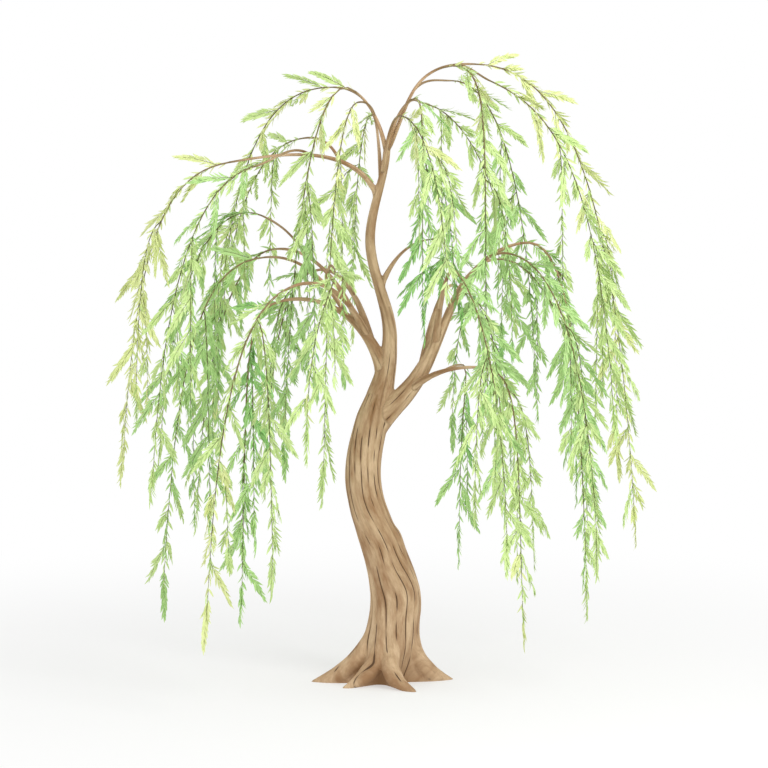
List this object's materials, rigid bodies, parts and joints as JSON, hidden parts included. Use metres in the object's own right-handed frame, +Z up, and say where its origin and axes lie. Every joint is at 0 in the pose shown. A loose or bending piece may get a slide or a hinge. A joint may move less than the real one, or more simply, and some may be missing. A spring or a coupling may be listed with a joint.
{
  "type": "weeping willow tree",
  "caption": "Weeping willow with a swaying trunk, flared root ridges, arching boughs and long hanging leafy whips.",
  "frame": {"origin": "in the middle of the flat cut under the trunk, at ground level", "axes": "+Z up along the tree, +X to the right of someone who faces its front, +Y away from them"},
  "size_m": [7.0379, 6.3708, 7.9764],
  "materials": {
    "bark": "matte",
    "foliage": "satin"
  },
  "bodies": {
    "root": {"bough_back_high_left": "bark", "bough_back_high_right": "bark", "bough_back_left": "bark", "bough_back_right": "bark", "bough_back_upper_left": "bark", "bough_crown": "bark", "bough_far_back_left": "bark", "bough_far_back_right": "bark", "bough_far_front_left": "bark", "bough_far_front_right": "bark", "bough_far_left": "bark", "bough_far_right": "bark", "bough_front_left": "bark", "bough_front_low_left": "bark", "bough_front_right": "bark", "bough_high_right": "bark", "bough_inner_right": "bark", "bough_left": "bark", "bough_low_right": "bark", "bough_middle_right": "bark", "bough_outer_right": "bark", "bough_right": "bark", "bough_top_back": "bark", "bough_top_back_left": "bark", "bough_top_front": "bark", "bough_top_front_left": "bark", "bough_top_left": "bark", "bough_top_right": "bark", "bough_upper_left": "bark", "mass_back_high_left": "foliage", "mass_back_high_right": "foliage", "mass_back_left": "foliage", "mass_back_right": "foliage", "mass_back_upper_left": "foliage", "mass_crown": "foliage", "mass_far_back_left": "foliage", "mass_far_back_right": "foliage", "mass_far_front_left": "foliage", "mass_far_front_right": "foliage", "mass_far_left": "foliage", "mass_far_right": "foliage", "mass_front_left": "foliage", "mass_front_low_left": "foliage", "mass_front_right": "foliage", "mass_high_right": "foliage", "mass_inner_right": "foliage", "mass_left": "foliage", "mass_low_right": "foliage", "mass_middle_right": "foliage", "mass_outer_right": "foliage", "mass_right": "foliage", "mass_top_back": "foliage", "mass_top_back_left": "foliage", "mass_top_front": "foliage", "mass_top_front_left": "foliage", "mass_top_left": "foliage", "mass_top_right": "foliage", "mass_upper_left": "foliage", "trunk": "bark"}
  },
  "joints": []
}
